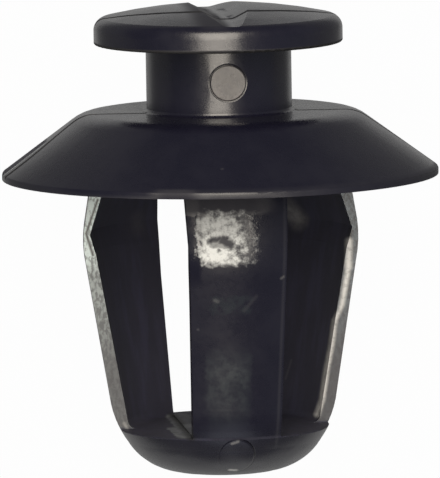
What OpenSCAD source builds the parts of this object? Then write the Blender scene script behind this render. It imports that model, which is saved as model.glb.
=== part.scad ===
// Push-in trim clip, moulded in one piece from black polyamide.
// The clip is drawn upright, with the lip of its skirt at height 0, its head
// above and its cage below. The mould opens along Y, so every face that it
// shapes is open to the front or to the back. The last module lays the clip
// down on its skirt and nose, the way it comes to rest on a table.

/* [Head] */
// Diameter of the head
head_d = 10.26; // [8.4:0.02:13]
// Thickness of the head, from its underside to the crown
head_h = 1.62; // [1.4:0.01:1.9]
// Radius of the shallow dome on top
crown_r = 22; // [18:1:40]
// Rounding of the head's upper edge
head_edge_r = 0.55; // [0.3:0.01:0.7]
// Rounding of the head's lower edge
head_under_r = 0.1; // [0.06:0.01:0.2]
// Width of the groove across the crown, between its shoulders
groove_w = 2.3; // [1.2:0.05:2.6]
// Width of the groove's floor
groove_floor_w = 0.6; // [0.3:0.05:0.7]
// Depth of the groove below the crown
groove_depth = 0.41; // [0.2:0.01:0.5]
// Radius of the flat bow that the groove follows over the head
groove_bow_r = 80; // [50:5:200]
// Rounding of the groove's shoulders
groove_shoulder_r = 1.2; // [0.6:0.05:1.5]

/* [Neck] */
// Diameter of the neck, which the slot of a trim panel takes
neck_d = 6.0; // [5:0.02:7.2]
// Clear length of the neck, between the head and the skirt
neck_len = 2.81; // [2.3:0.01:3.6]
// Fillet at both ends of the neck
neck_fillet_r = 0.16; // [0.08:0.01:0.25]

/* [Skirt] */
// Diameter of the skirt over its lip
skirt_d = 18.0; // [16.5:0.1:22]
// Height of the skirt's flat top above its lip
skirt_h = 2.69; // [2.2:0.01:3.3]
// Diameter of the flat top, to where its bend would be sharp
skirt_flat_d = 11.34; // [10.8:0.02:12.2]
// Rounding of the bend between the flat top and the slope
skirt_bend_r = 1.5; // [0.8:0.05:1.8]
// Wall of the skirt's slope near its root
skirt_wall = 0.62; // [0.5:0.01:0.8]
// Thickness of the lip
lip_wall = 0.3; // [0.25:0.01:0.4]
// Rounding of the lip's upper edge. Its lower edges are crisp, where the core
// of the mould shuts off
lip_edge_r = 0.13; // [0.08:0.005:0.2]
// Thickness of the plate that the cage hangs from
plate_t = 1.1; // [0.9:0.05:1.4]

/* [Cage] */
// Greatest diameter of the cage, which snaps through the panel hole
cage_d = 11.4; // [10.6:0.02:12.2]
// Depth of that greatest diameter below the lip
cage_bulge_drop = 2.6; // [2.1:0.05:3.1]
// Rounding of the bulge, seen from the side
cage_bulge_r = 5.2; // [3.5:0.1:6.5]
// Lead-in angle of the cage below the bulge
cage_taper = 9.2; // [7.5:0.1:10.5]
// Angle by which the cage draws in again above the bulge
cage_return = 10.6; // [8.8:0.1:12.5]
// Wall of the three legs
leg_wall = 0.47; // [0.4:0.01:0.6]
// Wall of the legs at their foot, where the nose's shoulder rounds it off
leg_foot_wall = 0.4; // [0.35:0.01:0.5]
// Wall that is left at the crease inside the bulge
crease_wall = 0.24; // [0.2:0.01:0.3]
// Depth below the lip of the sills that the windows end on
sill_drop = 10.42; // [8.7:0.02:12]
// Height of the solid nose below the sills
nose_h = 1.98; // [1.7:0.02:2.4]
// Height of the nose's shoulder over its end, to where it would be sharp
nose_shoulder_h = 2.3; // [2.2:0.02:2.5]
// Rounding of that shoulder
nose_shoulder_r = 4; // [3:0.1:4.3]
// How far the edge of the nose's end lies inside the shoulder
nose_draw = 1.27; // [1.15:0.01:1.4]
// Rounding of the end's edge
nose_r = 2.6; // [2.2:0.05:2.75]
// Height that the slightly pointed end gains up to its edge
nose_crown_h = 0.33; // [0.2:0.01:0.45]
// Fillet between the legs and the floor inside
floor_fillet_r = 0.35; // [0.2:0.05:0.5]
// Height of the step where the two halves of the mould meet on the floor
floor_step = 0.07; // [0.03:0.01:0.12]

/* [Windows] */
// Width of the front rib under the skirt
rib_top_w = 4.3; // [3.6:0.05:5]
// Width of the front rib half way down
rib_mid_w = 3.9; // [3.3:0.05:4.6]
// Width of the front rib at its foot
rib_foot_w = 3.62; // [3:0.02:4.3]
// Width of the back window under the skirt
back_top_w = 4.24; // [3.6:0.02:5]
// Width of the back window half way down
back_mid_w = 3.96; // [3.3:0.02:4.6]
// Width of the back window at its sill
back_foot_w = 3.34; // [2.8:0.02:4]
// Rounding of the back window's lower corners
window_corner_r = 0.2; // [0.1:0.01:0.35]

/* [Ejector marks] */
// Diameter of the marks that the ejector pins leave
pin_mark_d = 1.48; // [1.2:0.02:1.8]
// Height of the marks over the surface round them
pin_mark_h = 0.03; // [0.02:0.005:0.06]

/* [Hidden] */
$fn = 96;

// Heights, with the lip of the skirt at 0
flat_z = skirt_h;
under_z = flat_z + neck_len;
crown_z = under_z + head_h;
plate_z = flat_z - plate_t;
bulge_z = -cage_bulge_drop;
sill_z = -sill_drop;
nose_z = sill_z - nose_h;
shoulder_z = nose_z + nose_shoulder_h;
mid_z = bulge_z - 2;

// Radii of the turned forms
head_r = head_d / 2;
neck_r = neck_d / 2;
skirt_r = skirt_d / 2;
bend_r = skirt_flat_d / 2;
cage_r = cage_d / 2;
// Height of the head's rim, if it were sharp, over the dome's centre and over 0
rim_over_centre = sqrt(crown_r * crown_r - head_r * head_r);
rim_z = crown_z - crown_r + rim_over_centre;
// Where the cage's two slopes would meet if the bulge were sharp
bulge_spread = cos((cage_taper - cage_return) / 2) / cos((cage_taper + cage_return) / 2);
bulge_corner_r = cage_r + cage_bulge_r * (bulge_spread - 1);

// The lip's outer face is upright, and the slope starts at its top
lip_face_h = 0.24;
slope_angle = atan2(flat_z - lip_face_h, skirt_r - bend_r);

// Under the plate, the skirt's hollow starts this far outside the cage
hollow_gap = 0.25;
// and widens by at least this much over the plate's thickness
root_slant = 0.2;
// Fillets inside the hollow and where the legs join the plate
root_fillet_r = 0.3;
// The pin mark on the nose keeps this far below the sill
nose_mark_gap = 0.02;

// A circle that rounds a corner is this much too large, so that it crosses the
// straight sides instead of only touching them
cross = 1.001;
far = 2 * skirt_r;

// Radius of the cage's outside at a height
function outer_r(z) = bulge_corner_r - (z < bulge_z ? (bulge_z - z) * tan(cage_taper)
                                                    : (z - bulge_z) * tan(cage_return));

// Below its shoulder the nose draws in faster, along a cone. The cage's radius at
// the sills is inside both slopes
shoulder_r = outer_r(shoulder_z);
nose_slope = nose_draw / (nose_shoulder_h - nose_crown_h);
foot_r = min(outer_r(sill_z), shoulder_r - (shoulder_z - sill_z) * nose_slope);

// Inside, the wall thins to a crease just above the bulge. It has its full
// thickness again below it, and grows thicker towards the plate
crease_rise = 0.27;
crease_drop = 0.85;
root_swell = 0.3;
crease_r = cage_r - crease_wall;
crease_z = bulge_z + crease_rise;
below_crease_z = crease_z - crease_drop;

function unit(v) = v / norm(v);
function cross_z(a, b) = a[0] * b[1] - a[1] * b[0];
function xy(c) = [c[0], c[1]];

// A corner of an outline is [x, y, radius]. These give the two points where its
// rounding starts, its centre, and whether the outline turns left there
function sides(c, i) =
    let (n = len(c), p = xy(c[i]), a = xy(c[(i + n - 1) % n]), b = xy(c[(i + 1) % n]))
    [unit(a - p), unit(b - p)];
function half_angle(c, i) = let (s = sides(c, i)) acos(s[0] * s[1]) / 2;
function starts(c, i) =
    let (s = sides(c, i), t = c[i][2] / tan(half_angle(c, i)))
    [xy(c[i]) + s[0] * t, xy(c[i]) + s[1] * t];
function centre(c, i) =
    let (s = sides(c, i)) xy(c[i]) + unit(s[0] + s[1]) * c[i][2] / sin(half_angle(c, i));
function turns_left(c, i) = let (s = sides(c, i)) cross_z(s[1], s[0]) > 0;

// Area inside an outline that runs anticlockwise, with each corner rounded by
// its own radius, or sharp where that is 0
module rounded_outline(corners) {
    chords = [for (i = [0 : len(corners) - 1])
        each corners[i][2] > 0 ? starts(corners, i) : [xy(corners[i])]];
    difference() {
        union() {
            polygon(chords);
            for (i = [0 : len(corners) - 1])
                if (corners[i][2] > 0 && turns_left(corners, i))
                    corner_cap(corners, i);
        }
        for (i = [0 : len(corners) - 1])
            if (corners[i][2] > 0 && !turns_left(corners, i))
                corner_cap(corners, i);
    }
}

// The part of a corner's circle near the corner, with some to spare behind
module corner_cap(corners, i) {
    s = starts(corners, i);
    m = centre(corners, i);
    r = corners[i][2] * cross;
    out = unit(xy(corners[i]) - m);
    side = unit(s[1] - s[0]);
    mid = (s[0] + s[1]) / 2 - out * r * 0.05;
    half = norm(s[1] - s[0]) / 2 + r * 0.1;
    intersection() {
        translate(m)
            circle(r);
        polygon([mid - side * half, mid + side * half,
                 mid + side * half + out * r, mid - side * half + out * r]);
    }
}

// Head and neck, as half of their section
function head_corners() = [
    [0, flat_z - plate_t / 2, 0],
    [neck_r, flat_z - plate_t / 2, 0],
    [neck_r, under_z, neck_fillet_r],
    [head_r, under_z, head_under_r],
    [head_r, rim_z, head_edge_r],
    [0, rim_z + head_r * head_r / rim_over_centre, 0]
];

module head_outline() {
    intersection() {
        rounded_outline(head_corners());
        translate([0, crown_z - crown_r])
            circle(crown_r, $fn = 720);
    }
}

// Groove across the crown, as the section that is cut out of it, with the top
// of the crown at height 0
module groove_outline() {
    rounded_outline([
        [-groove_w, 0, 0],
        [-groove_w / 2, 0, groove_shoulder_r],
        [-groove_floor_w / 2, -groove_depth, groove_floor_w],
        [groove_floor_w / 2, -groove_depth, groove_floor_w],
        [groove_w / 2, 0, groove_shoulder_r],
        [groove_w, 0, 0],
        [groove_w, 1, 0],
        [-groove_w, 1, 0]
    ]);
}

// The section follows its bow from the front of the head to the back
module groove() {
    reach = asin(head_d / groove_bow_r);
    translate([0, 0, crown_z - groove_bow_r])
        rotate([0, -90, 0])
            rotate([0, 0, -reach])
                rotate_extrude(angle = 2 * reach, $fn = 720)
                    translate([groove_bow_r, 0])
                        rotate(-90)
                            groove_outline();
}

module head() {
    difference() {
        rotate_extrude()
            head_outline();
        groove();
    }
}

// Flat top and sloping skirt, hollow underneath, as half of their section. The
// hollow starts outside the cage, or at the bend where that lies further out
module skirt_outline() {
    bend_inner_r = bend_r - skirt_wall * tan(slope_angle / 2);
    lip_inner_r = skirt_r - lip_wall;
    under_slope = (flat_z - skirt_wall) / (lip_inner_r - bend_inner_r);
    gap_r = outer_r(plate_z) + hollow_gap;
    top_r = max(bend_inner_r, gap_r + root_slant);
    rounded_outline([
        [0, plate_z, 0],
        [gap_r, plate_z, 0],
        [top_r, under_slope * (lip_inner_r - top_r), root_fillet_r],
        [lip_inner_r, 0, 0],
        [skirt_r, 0, 0],
        [skirt_r, lip_face_h, lip_edge_r],
        [bend_r, flat_z, skirt_bend_r],
        [neck_r, flat_z, neck_fillet_r],
        [neck_r, flat_z + neck_len / 2, 0],
        [0, flat_z + neck_len / 2, 0]
    ]);
}

// Cage and nose before they are hollowed, as half of their section. The pin
// mark on the nose uses it too, grown by its own height
function cage_corners(grow = 0) = [
    [0, nose_z - grow, 0],
    [shoulder_r - nose_draw + grow, nose_z + nose_crown_h - grow, nose_r + grow],
    [shoulder_r + grow, shoulder_z, nose_shoulder_r + grow],
    [bulge_corner_r + grow, bulge_z, cage_bulge_r + grow],
    [outer_r(plate_z) + grow, plate_z + plate_t / 2, 0],
    [0, plate_z + plate_t / 2, 0]
];

module cage_outline(grow = 0) {
    rounded_outline(cage_corners(grow));
}

// Space inside the legs, as half of its section
module hollow_outline() {
    rounded_outline([
        [0, sill_z, 0],
        [foot_r - leg_foot_wall, sill_z, floor_fillet_r],
        [outer_r(below_crease_z) - leg_wall, below_crease_z, 0],
        [crease_r, crease_z, 0],
        [outer_r(plate_z) - leg_wall - root_swell, plate_z, root_fillet_r],
        [0, plate_z, 0]
    ]);
}

// Outline of an opening as seen along Y, for a width at its top, half way down
// and at its foot
module opening_outline(top_w, mid_w, foot_w, corner_r) {
    rounded_outline([
        [-foot_w / 2, sill_z, corner_r],
        [foot_w / 2, sill_z, corner_r],
        [mid_w / 2, mid_z, 0],
        [top_w / 2, plate_z, 0],
        [-top_w / 2, plate_z, 0],
        [-mid_w / 2, mid_z, 0]
    ]);
}

// Extrudes an outline drawn in X and Z from the mid plane towards the back
module towards_back(length) {
    translate([0, length, 0])
        rotate([90, 0, 0])
            linear_extrude(height = length)
                children();
}

// The front of the cage is open from the mid plane on, but for the rib
module front_windows() {
    mirror([0, 1, 0])
        towards_back(far)
            difference() {
                translate([-far, sill_z])
                    square([2 * far, plate_z - sill_z]);
                opening_outline(rib_top_w, rib_mid_w, rib_foot_w, 0);
            }
}

module back_window() {
    towards_back(far)
        opening_outline(back_top_w, back_mid_w, back_foot_w, window_corner_r);
}

// The strip of floor between the rib and the back window stands a little higher
module floor_strip() {
    front_w = rib_foot_w - 0.1;
    front_y = leg_foot_wall / 2 - foot_r;
    intersection() {
        rotate_extrude()
            cage_outline();
        translate([0, 0, sill_z - floor_step])
            linear_extrude(height = 2 * floor_step)
                polygon([
                    [-front_w / 2, front_y],
                    [front_w / 2, front_y],
                    [back_foot_w / 2, cage_r],
                    [-back_foot_w / 2, cage_r]
                ]);
    }
}

module cage() {
    difference() {
        rotate_extrude()
            cage_outline();
        rotate_extrude()
            hollow_outline();
        front_windows();
        back_window();
    }
}

// Flat round pad that the pin leaves on the neck
module neck_mark() {
    translate([0, 0, flat_z + neck_len / 2])
        rotate([90, 0, 0])
            cylinder(h = neck_r + pin_mark_h, d = pin_mark_d);
}

// Round pad that follows the curve of the nose
module nose_mark() {
    intersection() {
        rotate_extrude()
            cage_outline(pin_mark_h);
        translate([0, -cage_r / 2, sill_z - pin_mark_d / 2 - nose_mark_gap])
            rotate([90, 0, 0])
                cylinder(h = cage_r, d = pin_mark_d);
    }
}

module upright_clip() {
    head();
    rotate_extrude()
        skirt_outline();
    cage();
    floor_strip();
    neck_mark();
    nose_mark();
}

// Lying down, the clip touches the table with the lower edge of its lip and with
// one of its nose's two roundings. The line through the lip's edge that touches
// a rounding gives a tilt of the axis, and the smaller of the two is the real one
lip_foot = [skirt_r, 0];
function rest_tilt(i) =
    let (gap = lip_foot - centre(cage_corners(), i))
    atan2(gap[0], gap[1]) - asin(cage_corners()[i][2] / norm(gap));
tilt = min(rest_tilt(1), rest_tilt(2));
rest_h = lip_foot[0] * cos(tilt) - lip_foot[1] * sin(tilt);

// The origin lies under the middle of the clip: between the back of its head
// and the front of its nose
head_arc = centre(head_corners(), 4);
head_reach = head_arc[1] * cos(tilt) + head_arc[0] * sin(tilt) + head_edge_r;
nose_end = centre(cage_corners(), 1);
nose_reach = nose_end[1] * cos(tilt) - nose_end[0] * sin(tilt) - nose_r;
middle = (head_reach + nose_reach) / 2;

module clip() {
    color("#24232b")
        translate([0, -middle, rest_h])
            rotate([tilt - 90, 0, 0])
                upright_clip();
}

clip();
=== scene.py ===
"""Trim clip of black polyamide, lying on its skirt and nose on a pale table."""

import math

import bpy
from mathutils import Matrix, Vector


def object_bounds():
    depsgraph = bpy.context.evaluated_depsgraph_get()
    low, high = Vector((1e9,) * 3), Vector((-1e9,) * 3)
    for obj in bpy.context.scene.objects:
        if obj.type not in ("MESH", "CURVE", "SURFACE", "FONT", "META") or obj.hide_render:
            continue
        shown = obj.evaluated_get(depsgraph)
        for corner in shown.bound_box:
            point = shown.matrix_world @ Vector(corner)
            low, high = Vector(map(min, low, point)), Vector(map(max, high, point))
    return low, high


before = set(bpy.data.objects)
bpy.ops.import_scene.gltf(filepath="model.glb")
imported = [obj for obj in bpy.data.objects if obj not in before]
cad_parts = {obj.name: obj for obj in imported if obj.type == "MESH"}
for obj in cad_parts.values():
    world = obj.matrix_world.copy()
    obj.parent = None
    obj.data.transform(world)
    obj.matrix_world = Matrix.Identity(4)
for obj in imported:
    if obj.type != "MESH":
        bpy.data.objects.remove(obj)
cad_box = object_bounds()

# The clip's own frame: its axis from nose to head is z, its front is -y, and
# its origin is the middle of the skirt's lip. Its places are in millimetres,
# and the row's, where the clip lies tilted with its nose towards -y, in metres.
MM = 0.001
TILT = math.radians(24.1312)
ORIGIN = Vector((0, 0.00206401, 0.0082135))
TO_ROW = Matrix(
    (
        (1, 0, 0),
        (0, math.sin(TILT), math.cos(TILT)),
        (0, -math.cos(TILT), math.sin(TILT)),
    )
)
AXIS = TO_ROW @ Vector((0, 0, 1))


def in_row(x, y, z):
    """A point of the clip's own frame as a point of the row."""
    return TO_ROW @ Vector((x, y, z)) * MM + ORIGIN


def direction(azimuth, elevation):
    """A direction seen from the clip: azimuth 0 is its front, and elevation is
    towards its head."""
    azimuth, elevation = math.radians(azimuth), math.radians(elevation)
    side = math.sin(azimuth) * math.cos(elevation)
    front = math.cos(azimuth) * math.cos(elevation)
    return TO_ROW @ Vector((side, -front, math.sin(elevation)))


# Camera
def make_camera(azimuth, elevation, distance, target, lean, lens):
    back = direction(azimuth, elevation)
    up = (AXIS - back * AXIS.dot(back)).normalized()
    right = up.cross(back)
    sine, cosine = math.sin(math.radians(lean)), math.cos(math.radians(lean))
    right, up = right * cosine - up * sine, right * sine + up * cosine
    data = bpy.data.cameras.new("camera")
    data.lens = lens
    data.clip_start, data.clip_end = 0.01, 10
    camera = bpy.data.objects.new("camera", data)
    bpy.context.scene.collection.objects.link(camera)
    turn = Matrix((right, up, back)).transposed()
    camera.matrix_world = Matrix.Translation(target + back * distance) @ turn.to_4x4()
    bpy.context.scene.camera = camera


make_camera(
    azimuth=-7.3,
    elevation=6.603,
    distance=0.355,
    target=in_row(-0.0565, 0.0072, -2.649),
    lean=0.925,
    lens=647.73,
)


# Nodes
class Net:
    """Adds nodes to a tree. An input can be a number, a tuple or a socket."""

    def __init__(self, tree):
        self.tree = tree

    def feed(self, socket, value):
        if isinstance(value, bpy.types.NodeSocket):
            self.tree.links.new(value, socket)
        else:
            socket.default_value = value

    def node(self, kind, inputs=None, **settings):
        node = self.tree.nodes.new(kind)
        for name, value in settings.items():
            setattr(node, name, value)
        for name, value in (inputs or {}).items():
            self.feed(node.inputs[name], value)
        return node

    def math(self, operation, *values):
        node = self.node("ShaderNodeMath", operation=operation)
        for socket, value in zip(node.inputs, values):
            self.feed(socket, value)
        return node.outputs[0]

    def vmath(self, operation, *values, out=0):
        node = self.node("ShaderNodeVectorMath", operation=operation)
        for socket, value in zip(node.inputs, values):
            self.feed(socket, value)
        return node.outputs[out]

    def add(self, a, b):
        return self.math("ADD", a, b)

    def sub(self, a, b):
        return self.math("SUBTRACT", a, b)

    def mul(self, *values):
        out = values[0]
        for value in values[1:]:
            out = self.math("MULTIPLY", out, value)
        return out

    def most(self, *values):
        out = values[0]
        for value in values[1:]:
            out = self.math("MAXIMUM", out, value)
        return out

    def ramp(self, value, low, high, to_low=0.0, to_high=1.0):
        """A smooth step from to_low, where the value is low, to to_high."""
        limits = {"From Min": low, "From Max": high, "To Min": to_low, "To Max": to_high}
        node = self.node(
            "ShaderNodeMapRange", {"Value": value, **limits}, interpolation_type="SMOOTHSTEP"
        )
        return node.outputs[0]

    def band(self, value, low, low_full, high_full, high):
        """1 from low_full to high_full, falling to 0 at low and at high."""
        return self.mul(self.ramp(value, low, low_full), self.ramp(value, high, high_full))

    def line(self, value, at, width):
        """1 where the value is at, falling to 0 over the width on both sides."""
        return self.ramp(self.math("ABSOLUTE", self.sub(value, at)), 0.0, width, 1.0, 0.0)

    def noise(self, vector, scale, detail=2.0, rough=0.5, out=0):
        inputs = {"Vector": vector, "Scale": scale, "Detail": detail, "Roughness": rough}
        return self.node("ShaderNodeTexNoise", inputs).outputs[out]

    def mix(self, factor, a, b):
        node = self.node("ShaderNodeMix", data_type="RGBA")
        for index, value in ((0, factor), (6, a), (7, b)):
            self.feed(node.inputs[index], (*value, 1) if isinstance(value, tuple) else value)
        return node.outputs[2]

    def parts(self, vector):
        return self.node("ShaderNodeSeparateXYZ", {0: vector}).outputs[:3]

    def group(self, group, inputs):
        return self.node("ShaderNodeGroup", inputs, node_tree=group).outputs[0]


FLOAT, VECTOR = "NodeSocketFloat", "NodeSocketVector"


def new_group(name, inputs, output):
    """A node group with one number as its output."""
    group = bpy.data.node_groups.new(name, "ShaderNodeTree")
    for socket, kind in inputs.items():
        group.interface.new_socket(socket, in_out="INPUT", socket_type=kind)
    group.interface.new_socket(output, in_out="OUTPUT", socket_type=FLOAT)
    entry = group.nodes.new("NodeGroupInput").outputs
    return group, Net(group), entry, group.nodes.new("NodeGroupOutput").inputs[0]


def make_box_group():
    """1 inside a box with rounded sides, falling to 0 over its edge."""
    inputs = {"Vector": VECTOR, "Centre": VECTOR, "Half": VECTOR, "Edge": FLOAT}
    group, net, entry, out = new_group("soft box", inputs, "Mask")
    away = net.vmath("SUBTRACT", entry["Vector"], entry["Centre"])
    away = net.vmath("ABSOLUTE", net.vmath("DIVIDE", away, entry["Half"]))
    away = net.vmath("MULTIPLY", away, net.vmath("MULTIPLY", away, away))
    away = net.vmath("MULTIPLY", away, away)
    x, y, z = net.parts(away)
    total = net.add(net.add(x, y), z)
    top = net.add(1.0, entry["Edge"])
    bottom = net.sub(1.0, entry["Edge"])
    net.feed(out, net.ramp(total, bottom, top, 1.0, 0.0))
    return group


def make_stroke_group():
    """1 on a straight stroke between two points, falling to 0 at its width."""
    inputs = {"Vector": VECTOR, "From": VECTOR, "To": VECTOR, "Width": FLOAT}
    group, net, entry, out = new_group("stroke", inputs, "Mask")
    run = net.vmath("SUBTRACT", entry["To"], entry["From"])
    away = net.vmath("SUBTRACT", entry["Vector"], entry["From"])
    along = net.math(
        "DIVIDE",
        net.vmath("DOT_PRODUCT", away, run, out=1),
        net.vmath("DOT_PRODUCT", run, run, out=1),
    )
    along = net.math("MINIMUM", net.math("MAXIMUM", along, 0.0), 1.0)
    nearest = net.node("ShaderNodeVectorMath", {0: run, "Scale": along}, operation="SCALE")
    gap = net.vmath("LENGTH", net.vmath("SUBTRACT", away, nearest.outputs[0]), out=1)
    net.feed(out, net.ramp(gap, 0.0, entry["Width"], 1.0, 0.0))
    return group


def make_grain_group():
    """Height of the moulded surface in millimetres: fine grain over soft waves."""
    grain_height, wave_height = 0.0012, 0.009
    group, net, entry, out = new_group("moulded grain", {"Vector": VECTOR}, "Height")
    grain = net.noise(entry["Vector"], scale=9.0, detail=3.0, rough=0.6)
    waves = net.noise(entry["Vector"], scale=1.1)
    net.feed(out, net.add(net.mul(grain, grain_height), net.mul(waves, wave_height)))
    return group


SOFT_BOX, STROKE, GRAIN = make_box_group(), make_stroke_group(), make_grain_group()


# Light and stage
def area_light(name, azimuth, elevation, distance, size, power, colour):
    data = bpy.data.lights.new(name, "AREA")
    data.shape = "RECTANGLE"
    data.size, data.size_y = size
    data.energy = power
    data.color = colour
    light = bpy.data.objects.new(name, data)
    back = direction(azimuth, elevation)
    side = AXIS.cross(back).normalized()
    turn = Matrix((side, back.cross(side), back)).transposed()
    light.matrix_world = Matrix.Translation(ORIGIN + back * distance) @ turn.to_4x4()
    bpy.context.scene.collection.objects.link(light)


area_light(
    "softbox",
    azimuth=-8,
    elevation=22,
    distance=0.5,
    size=(0.32, 0.6),
    power=3.4,
    colour=(1, 0.92, 0.8),
)


def make_world():
    """A dark room, a little paler past the nose and on the right, and dimmer low
    past the nose, with a glow along the horizon there."""
    past_nose, past_head, on_right = 0.125, 0.08, 0.06
    dimmed, glow = 0.4, 0.55
    sky = (0.86, 0.9, 1, 1)
    world = bpy.data.worlds.new("studio")
    world.use_nodes = True
    net = Net(world.node_tree)
    place = net.node("ShaderNodeTexCoord").outputs["Generated"]
    x, y = net.parts(place)[:2]
    room = net.mul(
        net.ramp(y, -0.5, 0.1, past_nose, past_head), net.ramp(y, -0.85, -0.55, dimmed, 1.0)
    )
    room = net.add(room, net.ramp(x, 0.4, 0.95, 0.0, on_right))
    background = world.node_tree.nodes["Background"]
    net.feed(background.inputs["Color"], sky)
    net.feed(background.inputs["Strength"], net.add(room, net.ramp(y, -0.98, -0.88, glow, 0.0)))
    bpy.context.scene.world = world


make_world()


def painted_pool_near_clip(net, place):
    """A painted pool of light: 1 on the paper near the clip and less further out, where the clip
    mirrors a greyer table, with a brighter painted place before the nose."""
    middle = (0.0015, -0.002, 0)
    half_at_nose, half_at_head = 0.0072, 0.009
    reach_to_head, reach_to_nose = 0.019, -0.0145
    inner_edge, outer_edge, far_shade, before_nose = 1.03, 1.7, 0.3, 0.5
    across, along = net.parts(net.vmath("SUBTRACT", place, middle))[:2]
    half = net.ramp(along, -0.012, -0.002, half_at_nose, half_at_head)
    across = net.math("ABSOLUTE", net.math("DIVIDE", across, half))
    to_head = net.math("DIVIDE", along, reach_to_head)
    to_nose = net.math("DIVIDE", along, reach_to_nose)
    reach = net.most(across, to_head, to_nose)
    near = net.ramp(reach, inner_edge, outer_edge, 1.0, far_shade)
    bright = net.mul(net.ramp(to_nose, 0.8, 1.0), net.ramp(across, 0.5, 0.2))
    return net.add(near, net.mul(bright, before_nose))


def make_paper():
    """Paper that the camera sees as white, with a little of the clip's shadow."""
    tone, fibre = (0.29, 0.31, 0.34), 0.03
    white_seen, white_mirrored = 0.98, 0.2
    paper = bpy.data.materials.new("paper")
    paper.use_nodes = True
    net = Net(paper.node_tree)
    place = net.node("ShaderNodeTexCoord").outputs["Object"]
    # Painted pool of light near the clip, which the clip mirrors
    near = painted_pool_near_clip(net, place)
    fibres = net.mul(net.noise(place, scale=900.0, detail=3.0), fibre)
    shader = paper.node_tree.nodes["Principled BSDF"]
    colour = net.vmath("MULTIPLY", net.vmath("ADD", tone, fibres), near)
    net.feed(shader.inputs["Base Color"], colour)
    shader.inputs["Roughness"].default_value = 0.9
    shader.inputs["Specular IOR Level"].default_value = 0.1
    white = net.node("ShaderNodeEmission", {"Color": (1, 1, 1, 1), "Strength": 1.0})
    rays = net.node("ShaderNodeLightPath").outputs
    seen = net.most(rays["Is Camera Ray"], rays["Is Transmission Ray"])
    mirrored = net.mul(rays["Is Glossy Ray"], near, white_mirrored)
    both = net.node("ShaderNodeMixShader", {0: net.most(net.mul(seen, white_seen), mirrored)})
    net.feed(both.inputs[1], shader.outputs[0])
    net.feed(both.inputs[2], white.outputs[0])
    net.feed(paper.node_tree.nodes["Material Output"].inputs["Surface"], both.outputs[0])
    return paper


def make_table():
    table_side = 3
    bpy.ops.mesh.primitive_plane_add(size=table_side, location=(0, 0, cad_box[0].z))
    floor = bpy.context.object
    floor.name = "table"
    floor.data.materials.append(make_paper())


make_table()


# Colours of the polyamide, of the marks on it, and of the light and shade painted on it
BLACK, CLOUDED = (0.0085, 0.0081, 0.0195), (0.0113, 0.011, 0.023)
# Painted cool light on the clip's inside
COOL_LIGHT = (0.45, 0.45, 1)
UNDER_SHADE = (0.002, 0.002, 0.003)
# Painted shade at the parting lines' steps, and the dark line on the sill
DARK_LINE = (0.002, 0.002, 0.002)
SEAM = (0.01, 0.01, 0.012)
# Painted shade in the pin rings
PIN_RING_SHADE = (0.003, 0.003, 0.004)
# Painted highlight on the neck pin's disc
PIN_DISC_HIGHLIGHT = (0.95, 0.86, 0.76)
# Painted highlight on the rib's shoulder
PATCH_HIGHLIGHT = (0.97, 1.0, 1.0)
SCUFFED = (0.3, 0.52, 0.44)
SCRATCHED = (0.8, 0.8, 0.78)
BURR = (0.75, 0.75, 0.8)
# Painted reflections on the legs' cut faces
LEFT_CUT_SHEEN, RIGHT_CUT_SHEEN = (0.82, 0.95, 0.96), (0.7, 0.88, 1.0)
PALE_FLASH = (0.95, 0.95, 0.93)
# Painted glints
GLINT = (0.9, 0.9, 0.88)
RUBBED = (0.75, 0.82, 0.82)
# Painted highlights inside the legs
PAINTED_SHINE = (0.85, 0.85, 0.82)

# Bands along the clip: where a mark starts, is full, is full still, and ends
SILL = (-10.47, -10.44, -10.4, -10.3)
LEG_CUT = (-10.5, -10.4, 1.4, 1.6)
BESIDE_PATCH = (-4.2, -3.2, -0.1, 0.2)
ABOVE_PATCH = (-1.15, -0.85, -0.1, 0.2)
SKIRT_CONE = (0.1, 0.3, 2.8, 2.9)
HEAD_EDGE = (5.3, 5.4, 5.58, 5.66)

# Bands across the clip, and from its front to its back
GROOVE_WALL = (-1.75, -0.95, -0.4, 0.05)
FLASH_REACH = (-0.2, -0.05, 1.3, 1.6)

# Places of the two ejector pins' marks
PIN_ON_NECK, PIN_ON_NOSE = (0, -3.03, 4.095), (0, -3.8, -11.18)

# Marks drawn as strokes: start, end, width and strength
# Dark lens inside the painted highlight on the rib
PATCH_LENS = (
    ((-1.2, -5.6, -2.08), (-0.85, -5.6, -1.97), 0.27, 0.85),
    ((-0.85, -5.6, -1.97), (-0.5, -5.65, -2.0), 0.2, 0.8),
    ((-0.68, -5.65, -2.07), (-0.4, -5.68, -2.2), 0.36, 1.0),
    ((-0.8, -5.6, -2.48), (-0.68, -5.6, -2.53), 0.18, 0.6),
)
SCRATCHES = (
    ((-1.0, -5.35, -4.53), (-0.88, -5.4, -4.58), 0.13, 0.07),
    ((0.7, -5.4, -4.4), (0.2, -5.4, -4.98), 0.13, 0.022),
    ((3.23, 2.9, -8.17), (3.0, 2.97, -8.95), 0.09, 0.035),
    ((1.75, -5.31, -3.72), (1.85, -5.3, -3.66), 0.1, 0.1),
    ((-5.5, -0.3, 2.65), (-5.2, -0.3, 2.7), 0.16, 0.2),
    ((-0.93, -7.78, 1.1), (-0.91, -7.78, 1.1), 0.1, 0.03),
    ((-1.67, -5.0, -5.75), (-1.65, -5.0, -5.75), 0.09, 0.05),
)
SEAMS = (
    ((-5.11, 0, -0.87), (-5.61, 0, -2.25), 0.09, 0.95),
    ((-5.61, 0, -2.25), (-5.35, 0, -3.15), 0.1, 0.95),
    ((5.36, 0, -2.3), (5.42, 0, -2.97), 0.06, 0.95),
)
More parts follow.
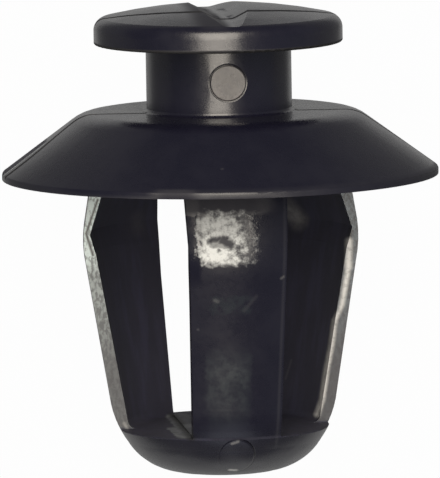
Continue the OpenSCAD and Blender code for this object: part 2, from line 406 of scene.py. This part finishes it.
# Painted glints on the nose and at the foot of the left leg
FOOT_GLINTS = (
    ((-0.24, -4.25, -10.58), (0.0, -4.3, -10.5), 0.11, 0.22),
    ((-0.2, -3.2, -11.82), (0.02, -3.17, -11.84), 0.17, 0.66),
    ((-3.85, 0.19, -10.1), (-3.8, 0.19, -10.4), 0.09, 0.11),
    ((-4.17, 0, -10.2), (-4.05, 0, -10.4), 0.12, 0.176),
)
SILL_LINE = (((-1.72, 3.39, -10.39), (-1.85, -3.9, -10.3), 0.3, 0.9),)
# Painted soft highlights on the far walls of the legs
LEG_HIGHLIGHTS = (
    ((-2.97, 4.55, -2.2), (-2.97, 4.55, -2.6), 0.6, 0.028),
    ((3.6, 4.3, -1.9), (4.0, 4.1, -2.4), 0.8, 0.28),
)

# Corners of the flash's outline on the parting plane: x, z and width
FLASH = (
    (5.32, -2.9, 0.24),
    (5.28, -4.0, 0.19),
    (4.99, -5.55, 0.18),
    (4.68, -6.2, 0.2),
    (4.54, -7.15, 0.2),
    (4.3, -8.3, 0.2),
    (4.1, -9.5, 0.2),
    (3.88, -10.1, 0.18),
)


# Polyamide
class Skin(Net):
    """The nodes of a moulded skin. Its colour, roughness and height are built up
    mark by mark, and places on it are in the clip's own frame."""

    def __init__(self, material):
        super().__init__(material.node_tree)
        inputs = {
            "Vector": self.node("ShaderNodeTexCoord").outputs["Object"],
            "Location": tuple(ORIGIN),
            "Rotation": (TILT - math.pi / 2, 0, 0),
            "Scale": (MM, MM, MM),
        }
        self.local = self.node("ShaderNodeMapping", inputs, vector_type="TEXTURE").outputs[0]
        self.x, self.y, self.z = self.parts(self.local)
        self.outward = self.math("ABSOLUTE", self.x)
        self.mottle = self.noise(self.local, scale=3.2, detail=3.0, rough=0.65)
        self.flecks = self.noise(self.local, scale=6.0, detail=4.0, rough=0.7)
        wander = self.noise(self.local, scale=3.4, detail=3.0, out=1)
        self.wander = self.vmath("SUBTRACT", wander, (0.5, 0.5, 0.5))
        self.ragged = self.stray(0.45, 0.45, 0.45)
        self.frayed = self.stray(0.25, 0.25, 0.25)

    def stray(self, *reach):
        """The place on the clip, wandering by up to half the reach each way, for
        ragged edges."""
        return self.vmath("ADD", self.local, self.vmath("MULTIPLY", self.wander, reach))

    def box(self, centre, half, edge, place):
        inputs = {"Vector": place, "Centre": centre, "Half": half, "Edge": edge}
        return self.group(SOFT_BOX, inputs)

    def strokes(self, marks, place=None):
        """The strongest of the marks, each with its start, end, width and strength."""
        place = self.local if place is None else place
        masks = []
        for start, end, width, strength in marks:
            inputs = {"Vector": place, "From": start, "To": end, "Width": width}
            masks.append(self.mul(self.group(STROKE, inputs), strength))
        return self.most(*masks)

    def paint(self, colour, *masks, strength=1.0):
        self.colour = self.mix(self.mul(*masks, strength), self.colour, colour)

    def dull(self, *masks, by):
        self.roughness = self.add(self.roughness, self.mul(*masks, by))

    def lift(self, *masks, by):
        """Raises the surface in its bump, in millimetres."""
        self.height = self.add(self.height, self.mul(*masks, by))

    def sill(self):
        """The floor at the foot of the gap."""
        return self.band(self.z, *SILL)

    def rib_front(self):
        return self.ramp(self.y, -4.0, -4.4)


def base_finish(skin):
    """Black, a little blue, with paler patches that hardly show."""
    polished, by_patches, by_grain = 0.19, 0.1, 0.08
    fine = skin.noise(skin.local, scale=6.0, detail=3.0, rough=0.6)
    patches = skin.noise(skin.local, scale=0.7, detail=3.0, rough=0.6)
    skin.colour = skin.mix(skin.ramp(patches, 0.35, 0.7), BLACK, CLOUDED)
    uneven = skin.add(skin.mul(patches, by_patches), skin.mul(fine, by_grain))
    skin.roughness = skin.add(polished, uneven)
    skin.height = skin.group(GRAIN, {"Vector": skin.local})


def cool_light_inside(skin):
    """Duller behind the parting plane up to the skirt's cone, and on the sill, with painted cool
    light there in faint streaks along the clip."""
    streak_scale, faintest, strongest = (2.2, 2.2, 0.12), 0.014, 0.033
    behind = skin.mul(skin.ramp(skin.y, 0.1, 0.4), skin.ramp(skin.z, 1.65, 1.5))
    inside = skin.most(behind, skin.sill())
    stretched = skin.vmath("MULTIPLY", skin.local, streak_scale)
    streaks = skin.noise(stretched, scale=1.0, detail=3.0, rough=0.6)
    # Painted cool light on the shaded inside, in faint streaks
    skin.paint(COOL_LIGHT, inside, skin.ramp(streaks, 0.42, 0.68, faintest, strongest))
    skin.dull(inside, by=0.4)


def lip_edge(skin):
    """The lip, a little dull and dullest about 3 mm left of its middle, but hardly
    duller than the skirt at its left end."""
    lip_middle, left_end, dullest, right_fall = 0.1, 0.02, 0.5, 0.32
    off_middle = skin.math("ABSOLUTE", skin.sub(skin.z, lip_middle))
    edge = skin.ramp(off_middle, 0.2, 0.35, 1.0, 0.0)
    rim = skin.ramp(skin.vmath("LENGTH", skin.local, out=1), 8.6, 8.8)
    rise = skin.ramp(skin.x, -4.2, -3.2, left_end, dullest)
    fall = skin.ramp(skin.x, -2.6, -1.8, 0.0, right_fall)
    skin.dull(edge, rim, by=skin.sub(rise, fall))


def painted_shade_under_head(skin):
    """Painted shade along the edge under the head, which is dull there as well."""
    edge = skin.band(skin.z, *HEAD_EDGE)
    # Painted shade under the head
    skin.paint(UNDER_SHADE, edge, strength=0.8)
    skin.dull(edge, by=0.6)


def highlight_whiteness(skin):
    """How white the painted highlight is: solid in its heart, then specks that grow fewer
    towards its edges, with a dark lens in it."""
    mottle_share, fleck_share, heart_share, lens_softness = 0.6, 0.4, 0.12, 0.5
    heart = skin.box((-0.68, -5.5, -2.1), (1.0, 1.0, 0.95), 0.95, skin.ragged)
    heart = skin.mul(heart, skin.ramp(skin.x, 0.3, -0.6), heart_share)
    glint_specks = skin.mul(skin.mottle, mottle_share)
    glint_specks = skin.add(glint_specks, skin.mul(skin.flecks, fleck_share))
    glint_specks = skin.sub(skin.add(glint_specks, heart), skin.ramp(skin.x, -0.3, 0.7, 0.0, 0.09))
    white = skin.ramp(glint_specks, 0.38, 0.68, 0.05, 1.0)
    white = skin.mul(white, skin.ramp(skin.z, -1.5, -2.4, 0.68, 1.05))
    soft = skin.box((-0.75, -5.65, -2.14), (0.48, 0.8, 0.24), 0.95, skin.frayed)
    lens = skin.most(skin.mul(soft, lens_softness), skin.strokes(PATCH_LENS, skin.frayed))
    return skin.mul(white, skin.ramp(lens, 0.0, 0.85, 1.0, 0.05))


def painted_highlight_patch(skin):
    """Painted highlight on the rib's shoulder, mottled white and duller than the rib, as is the
    rib above it."""
    fleck_height, fleck_weight = 0.03, 1.6
    torn = skin.stray(1.0, 0.5, 0.6)
    patch = skin.box((-0.46, -5.5, -2.0), (1.2, 1.0, 1.06), 0.95, torn)
    # Painted highlight where the lamp is mirrored on the rib's shoulder
    skin.paint(PATCH_HIGHLIGHT, patch, highlight_whiteness(skin))
    skin.lift(patch, skin.flecks, by=fleck_height)
    speckled = skin.sub(skin.mul(skin.flecks, fleck_weight), skin.x)
    speckled = skin.ramp(speckled, 0.1, 0.7)
    above = skin.mul(skin.band(skin.z, *ABOVE_PATCH), skin.rib_front())
    above = skin.mul(above, skin.ramp(skin.x, 1.9, 0.5))
    skin.dull(skin.most(skin.mul(patch, speckled), above), by=0.5)


def glossy_beside_patch(skin):
    """The rib's left edge, glossier beside the patch."""
    left_edge = skin.ramp(skin.x, -1.45, -1.7)
    skin.dull(skin.band(skin.z, *BESIDE_PATCH), left_edge, skin.rib_front(), by=-0.14)


def scuffed_rib(skin):
    """Soft scuffs further down the rib, greener than the clip."""
    worn_share = 0.6
    rubbed = skin.box((-0.4, -4.8, -8.1), (0.9, 0.9, 1.8), 1.0, skin.ragged)
    rubbed = skin.mul(rubbed, skin.ramp(skin.mottle, 0.3, 0.75, 0.25, 1.0))
    rubbed = skin.mul(rubbed, skin.ramp(skin.z, -6.2, -7.6))
    rubbed = skin.mul(rubbed, skin.ramp(skin.z, -10.0, -7.8, 0.35, 1.0))
    worn = skin.box((-0.3, -5.4, -4.75), (0.85, 0.8, 0.4), 0.7, skin.ragged)
    worn = skin.mul(worn, skin.ramp(skin.mottle, 0.35, 0.65), worn_share)
    skin.paint(SCUFFED, skin.most(rubbed, worn), strength=0.033)
    skin.dull(rubbed, by=0.12)


def scratches(skin):
    skin.paint(SCRATCHED, skin.strokes(SCRATCHES))


def rib_burr(skin):
    """Thin burr along the rib's right edge, which leans a little."""
    edge_x, edge_below_lip, edge_lean, burr_width = 1.965, 0.5, 0.032, 0.11
    edge = skin.add(edge_x, skin.mul(skin.add(skin.z, edge_below_lip), edge_lean))
    on_rib = skin.mul(skin.ramp(skin.y, -3.6, -3.9), skin.ramp(skin.z, 0.2, -0.5))
    skin.paint(BURR, skin.line(skin.x, edge, burr_width), on_rib, strength=0.022)


def cut_face_sheen(skin):
    """The legs' faces at the mould's parting plane, where the two halves met: streaked, and pale
    with a painted reflection of the lamp, more so on the left and towards the skirt, where it
    also makes up for the skirt's shadow."""
    plane_half, streak_scale, streak_bend = 0.05, (1, 1, 0.45), (0.3, 0.3, 0.3)
    cut = skin.mul(skin.line(skin.y, 0.0, plane_half), skin.band(skin.z, *LEG_CUT))
    cut = skin.mul(cut, skin.ramp(skin.outward, 3.4, 3.6))
    stretched = skin.vmath("MULTIPLY", skin.local, streak_scale)
    bent = skin.vmath("MULTIPLY", skin.wander, streak_bend)
    streaks = skin.noise(skin.vmath("ADD", stretched, bent), scale=7.5)
    # Painted light, stronger towards the skirt, against the skirt's shadow
    towards_skirt = skin.ramp(skin.z, -8.4, -4.0, 0.18, 1.15)
    left = skin.mul(cut, skin.ramp(skin.x, 1.0, -1.0), skin.ramp(skin.z, -4.2, -2.6, 0.25, 0.95))
    # Painted reflection of the lamp on the cut faces
    skin.paint(LEFT_CUT_SHEEN, left, skin.ramp(streaks, 0.35, 0.65, 0.4, 1.35), towards_skirt)
    right = skin.mul(cut, skin.ramp(skin.x, -1.0, 1.0), skin.ramp(skin.z, -2.7, -1.8, 1.0, 1.7))
    skin.paint(RIGHT_CUT_SHEEN, right, skin.ramp(streaks, 0.3, 0.7, 0.03, 0.15), towards_skirt)
    skin.dull(cut, by=0.12)


def seams(skin):
    """Dark seams on the cut faces, at the legs' bulge."""
    skin.paint(SEAM, skin.strokes(SEAMS))


def leg_flash(skin):
    """Thin pale flash inside the right leg, which reaches back into it at a slant."""
    slant_across, slant_along = 0.128, 0.116
    across = skin.sub(skin.x, skin.mul(skin.y, slant_across))
    along = skin.add(skin.z, skin.mul(skin.y, slant_along))
    outline = skin.node("ShaderNodeCombineXYZ", {0: across, 2: along}).outputs[0]
    runs = []
    for (x, z, width), (end_x, end_z, _) in zip(FLASH, FLASH[1:]):
        runs.append(((x, 0, z), (end_x, 0, end_z), width, 1.0))
    flash = skin.mul(skin.strokes(runs, outline), skin.band(skin.y, *FLASH_REACH))
    flash = skin.mul(flash, skin.ramp(skin.x, 3.2, 3.4))
    flash = skin.mul(flash, skin.ramp(skin.mottle, 0.3, 0.55, 0.6, 1.0))
    skin.paint(PALE_FLASH, flash, skin.ramp(skin.z, -6.5, -3.8, 0.65, 1.0))


def from_pin(skin, pin):
    """The distance from a pin's axis, the way across it and the way into the clip."""
    across, into, up = skin.parts(skin.vmath("SUBTRACT", skin.local, pin))
    reach = skin.math("SQRT", skin.add(skin.mul(across, across), skin.mul(up, up)))
    return reach, across, into


def pin_marks(skin):
    """Marks of two ejector pins: a painted highlight on the neck pin's disc, and grooved rings
    round both, with painted shade in them that is darker on the nose ring's right.
    """
    disc_radius, neck_radius, nose_radius = 0.7, 0.75, 0.74
    neck_width, nose_width, ring_depth = 0.06, 0.07, 0.02
    reach, _, into = from_pin(skin, PIN_ON_NECK)
    on_neck = skin.ramp(into, 0.35, 0.3)
    disc = skin.mul(skin.ramp(reach, neck_radius, disc_radius), on_neck)
    # Painted highlight on the neck pin's disc
    skin.paint(PIN_DISC_HIGHLIGHT, disc, skin.ramp(skin.mottle, 0.3, 0.7, 0.05, 0.09))
    neck_ring = skin.mul(skin.line(reach, neck_radius, neck_width), on_neck)
    reach, across, into = from_pin(skin, PIN_ON_NOSE)
    on_nose = skin.ramp(into, 1.6, 1.4)
    nose_ring = skin.mul(skin.line(reach, nose_radius, nose_width), on_nose)
    nose_ring = skin.mul(nose_ring, skin.ramp(across, -0.2, 0.5, 0.15, 0.8))
    rings = skin.most(neck_ring, nose_ring)
    # Painted shade in the rings, darker on the nose ring's right
    skin.paint(PIN_RING_SHADE, rings, strength=0.6)
    skin.lift(rings, by=-ring_depth)


def foot_glints(skin):
    """Painted glints on the nose and at the foot of the left leg."""
    skin.paint(GLINT, skin.strokes(FOOT_GLINTS))


def parting_lines(skin):
    """Parting lines over the head and down both sides of the skirt, each with the step that the
    two halves of the mould left, and painted shade along each step."""
    line_width, head_step, skirt_step = 0.26, 0.14, 0.12
    head_y, head_bow, head_lean = -2.35, 0.1, -0.04
    skirt_y, skirt_lean = -0.58, -0.08
    x, y, z = skin.x, skin.y, skin.z
    on_head = skin.ramp(z, 6.2, 6.4)
    on_skirt = skin.mul(skin.band(z, *SKIRT_CONE), skin.ramp(skin.outward, 3.0, 3.2))
    head_line = skin.add(skin.mul(x, x, head_bow), skin.mul(x, head_lean))
    head_line = skin.add(head_y, head_line)
    skirt_line = skin.mul(x, skin.ramp(z, 0.8, 2.65, 0.0, skirt_lean))
    skirt_line = skin.add(skirt_line, skirt_y)
    lines = skin.most(
        skin.mul(skin.line(y, head_line, line_width), on_head),
        skin.mul(skin.line(y, skirt_line, line_width), on_skirt),
    )
    # Painted shade along the steps at the parting lines
    skin.paint(DARK_LINE, lines, strength=0.9)
    skin.dull(lines, by=0.3)
    skin.lift(skin.ramp(skin.sub(y, head_line), -0.2, 0.2), on_head, by=head_step)
    skin.lift(skin.ramp(skin.sub(y, skirt_line), -0.12, 0.12), on_skirt, by=skirt_step)


def groove_wall(skin):
    """Left wall of the crown's groove, duller than the crown."""
    skin.dull(skin.band(skin.x, *GROOVE_WALL), skin.ramp(skin.z, 6.4, 6.6), by=0.3)


def rubbed_sill(skin):
    """The floor at the foot of the gap, rubbed a little paler in two places, with a dark line
    through them."""
    rubs = skin.most(
        skin.box((-1.55, 1.45, -10.4), (0.5, 2.2, 1.0), 0.5, skin.ragged),
        skin.box((-2.05, -1.7, -10.4), (0.35, 1.7, 1.0), 0.8, skin.ragged),
    )
    patchy = skin.ramp(skin.mottle, 0.3, 0.6, 0.4, 1.0)
    skin.paint(RUBBED, rubs, skin.sill(), patchy, strength=0.2)
    skin.paint(DARK_LINE, skin.strokes(SILL_LINE))


def painted_leg_highlights(skin):
    """Painted soft highlights on the far wall of both legs."""
    patchy = skin.ramp(skin.mottle, 0.3, 0.7, 0.5, 1.0)
    # Painted highlights inside the legs
    skin.paint(PAINTED_SHINE, skin.strokes(LEG_HIGHLIGHTS), patchy)


def make_polyamide():
    plastic = bpy.data.materials.new("polyamide")
    plastic.use_nodes = True
    skin = Skin(plastic)
    base_finish(skin)
    cool_light_inside(skin)
    lip_edge(skin)
    painted_shade_under_head(skin)
    painted_highlight_patch(skin)
    glossy_beside_patch(skin)
    scuffed_rib(skin)
    scratches(skin)
    rib_burr(skin)
    cut_face_sheen(skin)
    seams(skin)
    leg_flash(skin)
    pin_marks(skin)
    foot_glints(skin)
    parting_lines(skin)
    groove_wall(skin)
    rubbed_sill(skin)
    painted_leg_highlights(skin)
    shader = plastic.node_tree.nodes["Principled BSDF"]
    skin.feed(shader.inputs["Base Color"], skin.colour)
    skin.feed(shader.inputs["Roughness"], skin.roughness)
    shader.inputs["IOR"].default_value = 1.56
    shader.inputs["Specular IOR Level"].default_value = 0.8
    bump = skin.node("ShaderNodeBump", {"Height": skin.height, "Strength": 1.0, "Distance": MM})
    skin.feed(shader.inputs["Normal"], bump.outputs[0])
    return plastic


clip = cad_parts["clip"]
clip.data.materials.clear()
clip.data.materials.append(make_polyamide())

bpy.context.scene.view_settings.view_transform = "Standard"
